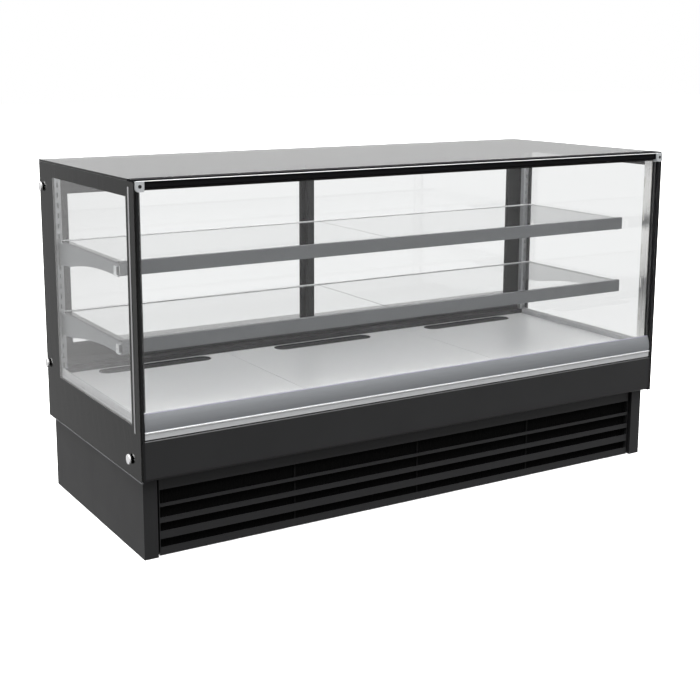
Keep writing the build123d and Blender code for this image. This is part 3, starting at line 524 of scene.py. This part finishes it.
def side_bottom_trims():
    """Polished strip along the lower edge of each side pane."""
    low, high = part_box("side_glass_left")
    for name, face, side in (("left", low.x, -1), ("right", -low.x, 1)):
        mesh = bmesh.new()
        x0, x1 = sorted((face - side * 5 * MM, face + side * 0.8 * MM))
        add_bar(mesh, (x0, low.y + 2 * MM, low.z - 0.8 * MM), (x1, high.y - 2 * MM, low.z + 1.4 * MM),
                bevel=0.3 * MM)
        piece_from(f"side_bottom_trim_{name}", mesh, "case", "trim_grey")


def rail_seal():
    """Soft lip between the front rail and its glass."""
    low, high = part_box("front_rail")
    glass_low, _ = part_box("front_glass")
    mesh = bmesh.new()
    y, z = glass_low.y, high.z
    points = [(y - 3.2 * MM, z + SNUG), (y - 2.8 * MM, z + 1.3 * MM), (y - 1.2 * MM, z + 2.4 * MM),
              (y - SNUG, z + 2.6 * MM), (y - SNUG, z + SNUG)]
    add_outline(mesh, points, low.x + 1 * MM, high.x - 1 * MM)
    piece_from("rail_seal", mesh, "front_glass", "seal_grey", smooth_angle=60)


def side_seals():
    """Clear-black blade seals on the vertical edges of the front glass."""
    low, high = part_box("front_glass")
    _, rail_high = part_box("front_rail")
    for name, edge, side in (("left", low.x, -1), ("right", high.x, 1)):
        mesh = bmesh.new()
        x0, x1 = sorted((edge + side * SNUG, edge - side * 9 * MM))
        add_bar(mesh, (x0, high.y + SNUG, rail_high.z + 3 * MM), (x1, high.y + 2.2 * MM, high.z - 3 * MM),
                bevel=0.5 * MM)
        piece_from(f"front_glass_seal_{name}", mesh, "front_glass", "rubber")


def shelf_end_strips():
    """Thin grey strip on each end of the glass shelves."""
    for level in ("upper", "lower"):
        low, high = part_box(f"shelf_glass_{level}")
        mesh = bmesh.new()
        for edge, side in ((low.x, -1), (high.x, 1)):
            x0, x1 = sorted((edge + side * SNUG, edge + side * 0.85 * MM))
            add_bar(mesh, (x0, low.y + 16 * MM, low.z), (x1, high.y - 16 * MM, high.z), bevel=0.2 * MM)
        piece_from(f"shelf_end_strips_{level}", mesh, "case", "trim_grey")


def lamp_diffuser():
    """Frosted strip let into the lower face of the light bar."""
    low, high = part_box("lamp")
    mesh = bmesh.new()
    margin = 30 * MM
    add_bar(mesh, (low.x + margin, low.y + 3 * MM, low.z - 1.0 * MM),
            (high.x - margin, low.y + 18 * MM, low.z + 0.4 * MM), bevel=0.4 * MM)
    piece_from("lamp_diffuser", mesh, "case", "lamp_white")


def grille_filter():
    """Pleated dust filter behind the louvres, a little wider than the grille."""
    low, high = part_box("louvre_grille")
    mesh = bmesh.new()
    pleat = 4.4 * MM
    count = int((high.x - low.x + 32 * MM) / pleat)
    y_front, y_back = high.y + 0.3 * MM, high.y + 1.4 * MM
    start = -count * pleat / 2
    rows = []
    for index in range(count + 1):
        y = y_front if index % 2 else y_back
        x = start + pleat * index
        rows.append((mesh.verts.new((x, y, 2 * MM)), mesh.verts.new((x, y, high.z - 2 * MM))))
    for left, right in zip(rows, rows[1:]):
        mesh.faces.new((left[0], right[0], right[1], left[1]))
    piece_from("grille_filter", mesh, "case", "filter_black", smooth_angle=20)


def add_perforated(mesh, low, high, z, pitch, hole):
    """A sheet of square cells, each with an eight-sided hole."""
    columns, rows = round((high[0] - low[0]) / pitch), round((high[1] - low[1]) / pitch)
    size = ((high[0] - low[0]) / columns, (high[1] - low[1]) / rows)
    rim = [(0.5, 0), (0.5, 0.5), (0, 0.5), (-0.5, 0.5), (-0.5, 0), (-0.5, -0.5), (0, -0.5), (0.5, -0.5)]
    for column in range(columns):
        for row in range(rows):
            x, y = low[0] + size[0] * (column + 0.5), low[1] + size[1] * (row + 0.5)
            outer = [mesh.verts.new((x + size[0] * a, y + size[1] * b, z)) for a, b in rim]
            turns = [math.pi / 4 * step for step in range(8)]
            inner = [mesh.verts.new((x + hole * math.cos(a), y + hole * math.sin(a), z)) for a in turns]
            for step in range(8):
                follow = (step + 1) % 8
                mesh.faces.new((outer[step], outer[follow], inner[follow], inner[step]))
    bmesh.ops.remove_doubles(mesh, verts=mesh.verts, dist=0.01 * MM)


def stadium(length, width, steps=12):
    """Points of a round-ended slot along X."""
    radius = width / 2
    reach = length / 2 - radius
    points = []
    for centre, start in ((reach, -90), (-reach, 90)):
        for step in range(steps + 1):
            angle = math.radians(start + 180 * step / steps)
            points.append((centre + radius * math.cos(angle), radius * math.sin(angle)))
    return points


def add_rings(mesh, loops, close=True):
    """A skin through loops of points, joined end to end when it is closed."""
    rings = [[mesh.verts.new(point) for point in loop] for loop in loops]
    pairs = list(zip(rings, rings[1:]))
    if close:
        pairs.append((rings[-1], rings[0]))
    for ring, above in pairs:
        for step in range(len(ring)):
            follow = (step + 1) % len(ring)
            mesh.faces.new((ring[step], ring[follow], above[follow], above[step]))
    bmesh.ops.recalc_face_normals(mesh, faces=mesh.faces)


VENT_PLACES = {"left": -597, "middle": 0, "right": 597}
VENT_Y = 236
VENT_SIZE = (362, 58)


def deck_vents():
    """Perforated plate under each deck vent and a thin folded rim round it."""
    _, deck_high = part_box("deck_panel_middle")
    top, bottom = deck_high.z, deck_high.z - 3 * MM
    for name, x in VENT_PLACES.items():
        half = VENT_SIZE[0] / 2 + 6, VENT_SIZE[1] / 2 + 6
        mesh = bmesh.new()
        add_perforated(mesh, ((x - half[0]) * MM, (VENT_Y - half[1]) * MM),
                       ((x + half[0]) * MM, (VENT_Y + half[1]) * MM), bottom - 1.0 * MM, 6 * MM, 1.9 * MM)
        plate = piece_from(f"vent_plate_{name}", mesh, "case", "vent_black")
        thick = plate.modifiers.new("thickness", "SOLIDIFY")
        thick.thickness = 0.8 * MM
        thick.offset = 0
        mesh = bmesh.new()
        loops = []
        for inset, z in ((0.0, bottom - 0.4 * MM), (0.7, bottom - 0.4 * MM), (0.7, top + 0.1 * MM),
                         (0.4, top + 0.3 * MM), (-0.9, top + 0.3 * MM), (-0.9, top + TOUCH), (0.0,
                                                                                              top + TOUCH)):
            outline = stadium(VENT_SIZE[0] - 0.2 - 2 * inset, VENT_SIZE[1] - 0.2 - 2 * inset)
            loops.append([((x + a) * MM, (VENT_Y + b) * MM, z) for a, b in outline])
        add_rings(mesh, loops)
        piece_from(f"vent_rim_{name}", mesh, "case", "vent_black", smooth_angle=30)


def door_pulls():
    """Pressed cup let into the outer stile of each door on the staff side."""
    for name, side in (("left", -1), ("right", 1)):
        low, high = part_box(f"door_frame_{name}")
        outer = low.x if side < 0 else high.x
        x, y, z = outer - side * 27 * MM, high.y, 640 * MM
        mesh = bmesh.new()
        loops = []
        for length, width, depth in ((126, 30, -0.02), (126, 30, 0.35), (123, 27, 0.5), (118, 22, 0.3),
                                     (114, 18, -3.0), (112, 16, -3.4)):
            loops.append([(x + b * MM, y + depth * MM, z + a * MM) for a, b in stadium(length, width)])
        for length, width, depth in ((112, 16, -3.9), (119.6, 23.6, -3.6), (119.6, 23.6, -0.02)):
            loops.append([(x + b * MM, y + depth * MM, z + a * MM) for a, b in stadium(length, width)])
        add_rings(mesh, loops)
        floor = [vertex for vertex in mesh.verts if abs(vertex.co.y - (y - 3.4 * MM)) < 0.01 * MM]
        back = [vertex for vertex in mesh.verts if abs(vertex.co.y - (y - 3.9 * MM)) < 0.01 * MM]
        mesh.faces.new(floor)
        mesh.faces.new(list(reversed(back)))
        bmesh.ops.recalc_face_normals(mesh, faces=mesh.faces)
        piece_from(f"door_pull_{name}", mesh, f"door_{name}", "stainless", smooth_angle=50)


def door_gaskets():
    """Rubber glazing bead round each door pane, on both of its faces."""
    for name in ("left", "right"):
        low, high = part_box(f"door_glass_{name}")
        x0, x1, z0, z1 = low.x + 8 * MM, high.x - 8 * MM, low.z + 8 * MM, high.z - 8 * MM
        bead = 3 * MM
        mesh = bmesh.new()
        for y0, y1 in ((low.y - 1.4 * MM, low.y - TOUCH), (high.y + TOUCH, high.y + 1.4 * MM)):
            add_bar(mesh, (x0, y0, z0), (x1, y1, z0 + bead), 0.4 * MM)
            add_bar(mesh, (x0, y0, z1 - bead), (x1, y1, z1), 0.4 * MM)
            add_bar(mesh, (x0, y0, z0 + bead), (x0 + bead, y1, z1 - bead), 0.4 * MM)
            add_bar(mesh, (x1 - bead, y0, z0 + bead), (x1, y1, z1 - bead), 0.4 * MM)
        piece_from(f"door_glazing_bead_{name}", mesh, f"door_{name}", "rubber")


def add_screw(mesh, point, direction, radius, height):
    """Button-head screw with a round socket."""
    profile = [(0, height * 0.35), (radius * 0.42, height * 0.35), (radius * 0.45, height), (radius * 0.7,
                                                                                             height),
               (radius * 0.95, height * 0.55), (radius, 0), (0, 0)]
    add_turned(mesh, profile, facing(point, direction), steps=18)


def rear_screws():
    """Screws of the two staff-side sheets."""
    low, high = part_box("rear_panel")
    mesh = bmesh.new()
    for x in range(-840, 841, 240):
        for z in (low.z + 9 * MM, high.z - 9 * MM):
            add_screw(mesh, (x * MM, high.y + TOUCH, z), (0, 1, 0), 4.0 * MM, 2.0 * MM)
    piece_from("rear_panel_screws", mesh, "case", "stainless")
    low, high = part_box("plinth_rear_panel")
    mesh = bmesh.new()
    for x in range(-840, 841, 280):
        for z in (low.z + 10 * MM, high.z - 10 * MM):
            add_screw(mesh, (x * MM, high.y + TOUCH, z), (0, 1, 0), 4.0 * MM, 2.0 * MM)
    piece_from("plinth_panel_screws", mesh, "case", "stainless")


SEGMENTS = {"a": (0, 1, True), "b": (1, 0.5, False), "c": (1, -0.5, False), "d": (0, -1, True),
            "e": (-1, -0.5, False), "f": (-1, 0.5, False), "g": (0, 0, True)}
DIGIT_SEGMENTS = {"3": "abcdg", "5": "acdfg"}


def controller_face():
    """Window, a two-digit reading with its point, and raised marks on two of the three buttons, up and down."""
    low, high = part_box("controller")
    centre_z = (low.z + high.z) / 2
    window_x, face = -617.5 * MM, high.y - 1 * MM
    mesh = bmesh.new()
    add_bar(mesh, (window_x - 15.2 * MM, face + TOUCH, centre_z - 9.7 * MM),
            (window_x + 15.2 * MM, face + 0.7 * MM, centre_z + 9.7 * MM), 0.2 * MM)
    piece_from("display_window", mesh, "case", "display_black")
    mesh = bmesh.new()
    half_width, half_height, stroke = 2.9 * MM, 5.2 * MM, 0.55 * MM
    for text, x in (("3", window_x + 6 * MM), ("5", window_x - 5 * MM)):
        for segment in DIGIT_SEGMENTS[text]:
            a, b, flat = SEGMENTS[segment]
            middle = (x - a * half_width, centre_z + b * half_height)
            reach = (half_width - stroke * 0.6, stroke) if flat else (stroke, half_height / 2 - stroke * 0.6)
            add_bar(mesh, (middle[0] - reach[0], face + 0.68 * MM, middle[1] - reach[1]),
                    (middle[0] + reach[0], face + 0.82 * MM, middle[1] + reach[1]))
    add_bar(mesh, (window_x + 0.1 * MM, face + 0.68 * MM, centre_z - half_height - stroke),
            (window_x + 1.2 * MM, face + 0.82 * MM, centre_z - half_height + stroke))
    piece_from("display_digits", mesh, "case", "display_digit")
    for body, turn in (("button_down", math.pi), ("button_up", 0.0)):
        low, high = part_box(body)
        x, z = (low.x + high.x) / 2, (low.z + high.z) / 2
        mesh = bmesh.new()
        corners = [(1.9 * MM * math.sin(turn + angle), 1.9 * MM * math.cos(turn + angle))
                   for angle in (0, 2 * math.pi / 3, 4 * math.pi / 3)]
        loops = [[(x + a * share, y, z + b * share) for a, b in corners]
                 for y, share in ((high.y - TOUCH, 1.0), (high.y + 0.2 * MM, 0.9))]
        add_rings(mesh, loops, close=False)
        bmesh.ops.holes_fill(mesh, edges=mesh.edges)
        bmesh.ops.recalc_face_normals(mesh, faces=mesh.faces)
        piece_from(f"{body}_mark", mesh, body, "line_white")


def add_ring(mesh, matrix, radius, wire, steps=40, sides=6):
    """A wire ring about local Z."""
    loops = []
    for step in range(steps):
        turn = 2 * math.pi * step / steps
        loop = []
        for side in range(sides):
            angle = 2 * math.pi * side / sides
            reach = radius + wire * math.cos(angle)
            loop.append(matrix @ Vector((reach * math.cos(turn), reach * math.sin(turn),
                                         wire * math.sin(angle))))
        loops.append(loop)
    add_rings(mesh, loops)


def fan_guards():
    """Wire guard over each fan mouth."""
    guards = {"condenser": ("condenser_fan", "condenser_shroud", 62, 6), "left": ("evaporator_fan_left", "",
                                                                                  41, 4),
              "right": ("evaporator_fan_right", "", 41, 4)}
    for name, (fan, shroud, outer, rings) in guards.items():
        low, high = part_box(fan)
        x, z = (low.x + high.x) / 2, (low.z + high.z) / 2
        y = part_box(shroud)[1].y + 1.3 * MM if shroud else high.y + 3 * MM
        matrix = facing((x, y, z), (0, 1, 0))
        mesh = bmesh.new()
        for index in range(rings):
            add_ring(mesh, matrix, (outer + 2) * MM * (index + 1) / rings, 0.8 * MM)
        for turn in (45, 135, 225, 315):
            rod = Matrix.Rotation(math.radians(turn), 4, "Z") @ Matrix.Rotation(math.radians(90), 4, "Y")
            tip = (outer + 4) * MM
            add_turned(mesh, [(0, 8 * MM), (0.8 * MM, 8 * MM), (0.8 * MM, tip), (0, tip)], matrix @ rod,
                       steps=8)
        piece_from(f"fan_guard_{name}", mesh, "case", "galvanised_steel")


BEVELS = {"plinth_side_left": 0.4, "plinth_side_right": 0.4, "louvre_grille": 0.4, "rear_panel": 0.5,
          "door_frame_left": 0.7, "door_frame_right": 0.7, "rear_sill": 0.6, "rear_header": 0.6, "rear_jambs": 0.5,
          "front_rail": 0.35, "front_posts": 0.6, "top_front_rail": 0.5, "shelf_rails_upper": 0.35,
          "shelf_rails_lower": 0.35, "shelf_brackets": 0.4, "shelf_uprights": 0.5, "deck_trims": 0.5,
          "corner_patches": 0.7, "lamp": 0.5, "controller": 0.5, "switch_housing": 0.4, "top_glass": 0.3,
          "shelf_glass_upper": 0.4, "shelf_glass_lower": 0.4, "plinth_rear_panel": 0.3, "base_frame": 0.5}


def rounded_edges():
    """Small broken edges on the folded, cut and extruded pieces, so that they catch the light."""
    for name, width in BEVELS.items():
        bevel = nodes[name].modifiers.new("broken_edge", "BEVEL")
        bevel.width = width * MM
        bevel.segments = 2
        bevel.limit_method = "ANGLE"
        bevel.angle_limit = math.radians(50)
        bevel.harden_normals = True


top_edge_bead()
glass_edge_seal()
corner_beads()
side_bottom_trims()
rail_seal()
side_seals()
shelf_end_strips()
lamp_diffuser()
grille_filter()
deck_vents()
door_pulls()
door_gaskets()
rear_screws()
controller_face()
fan_guards()
rounded_edges()
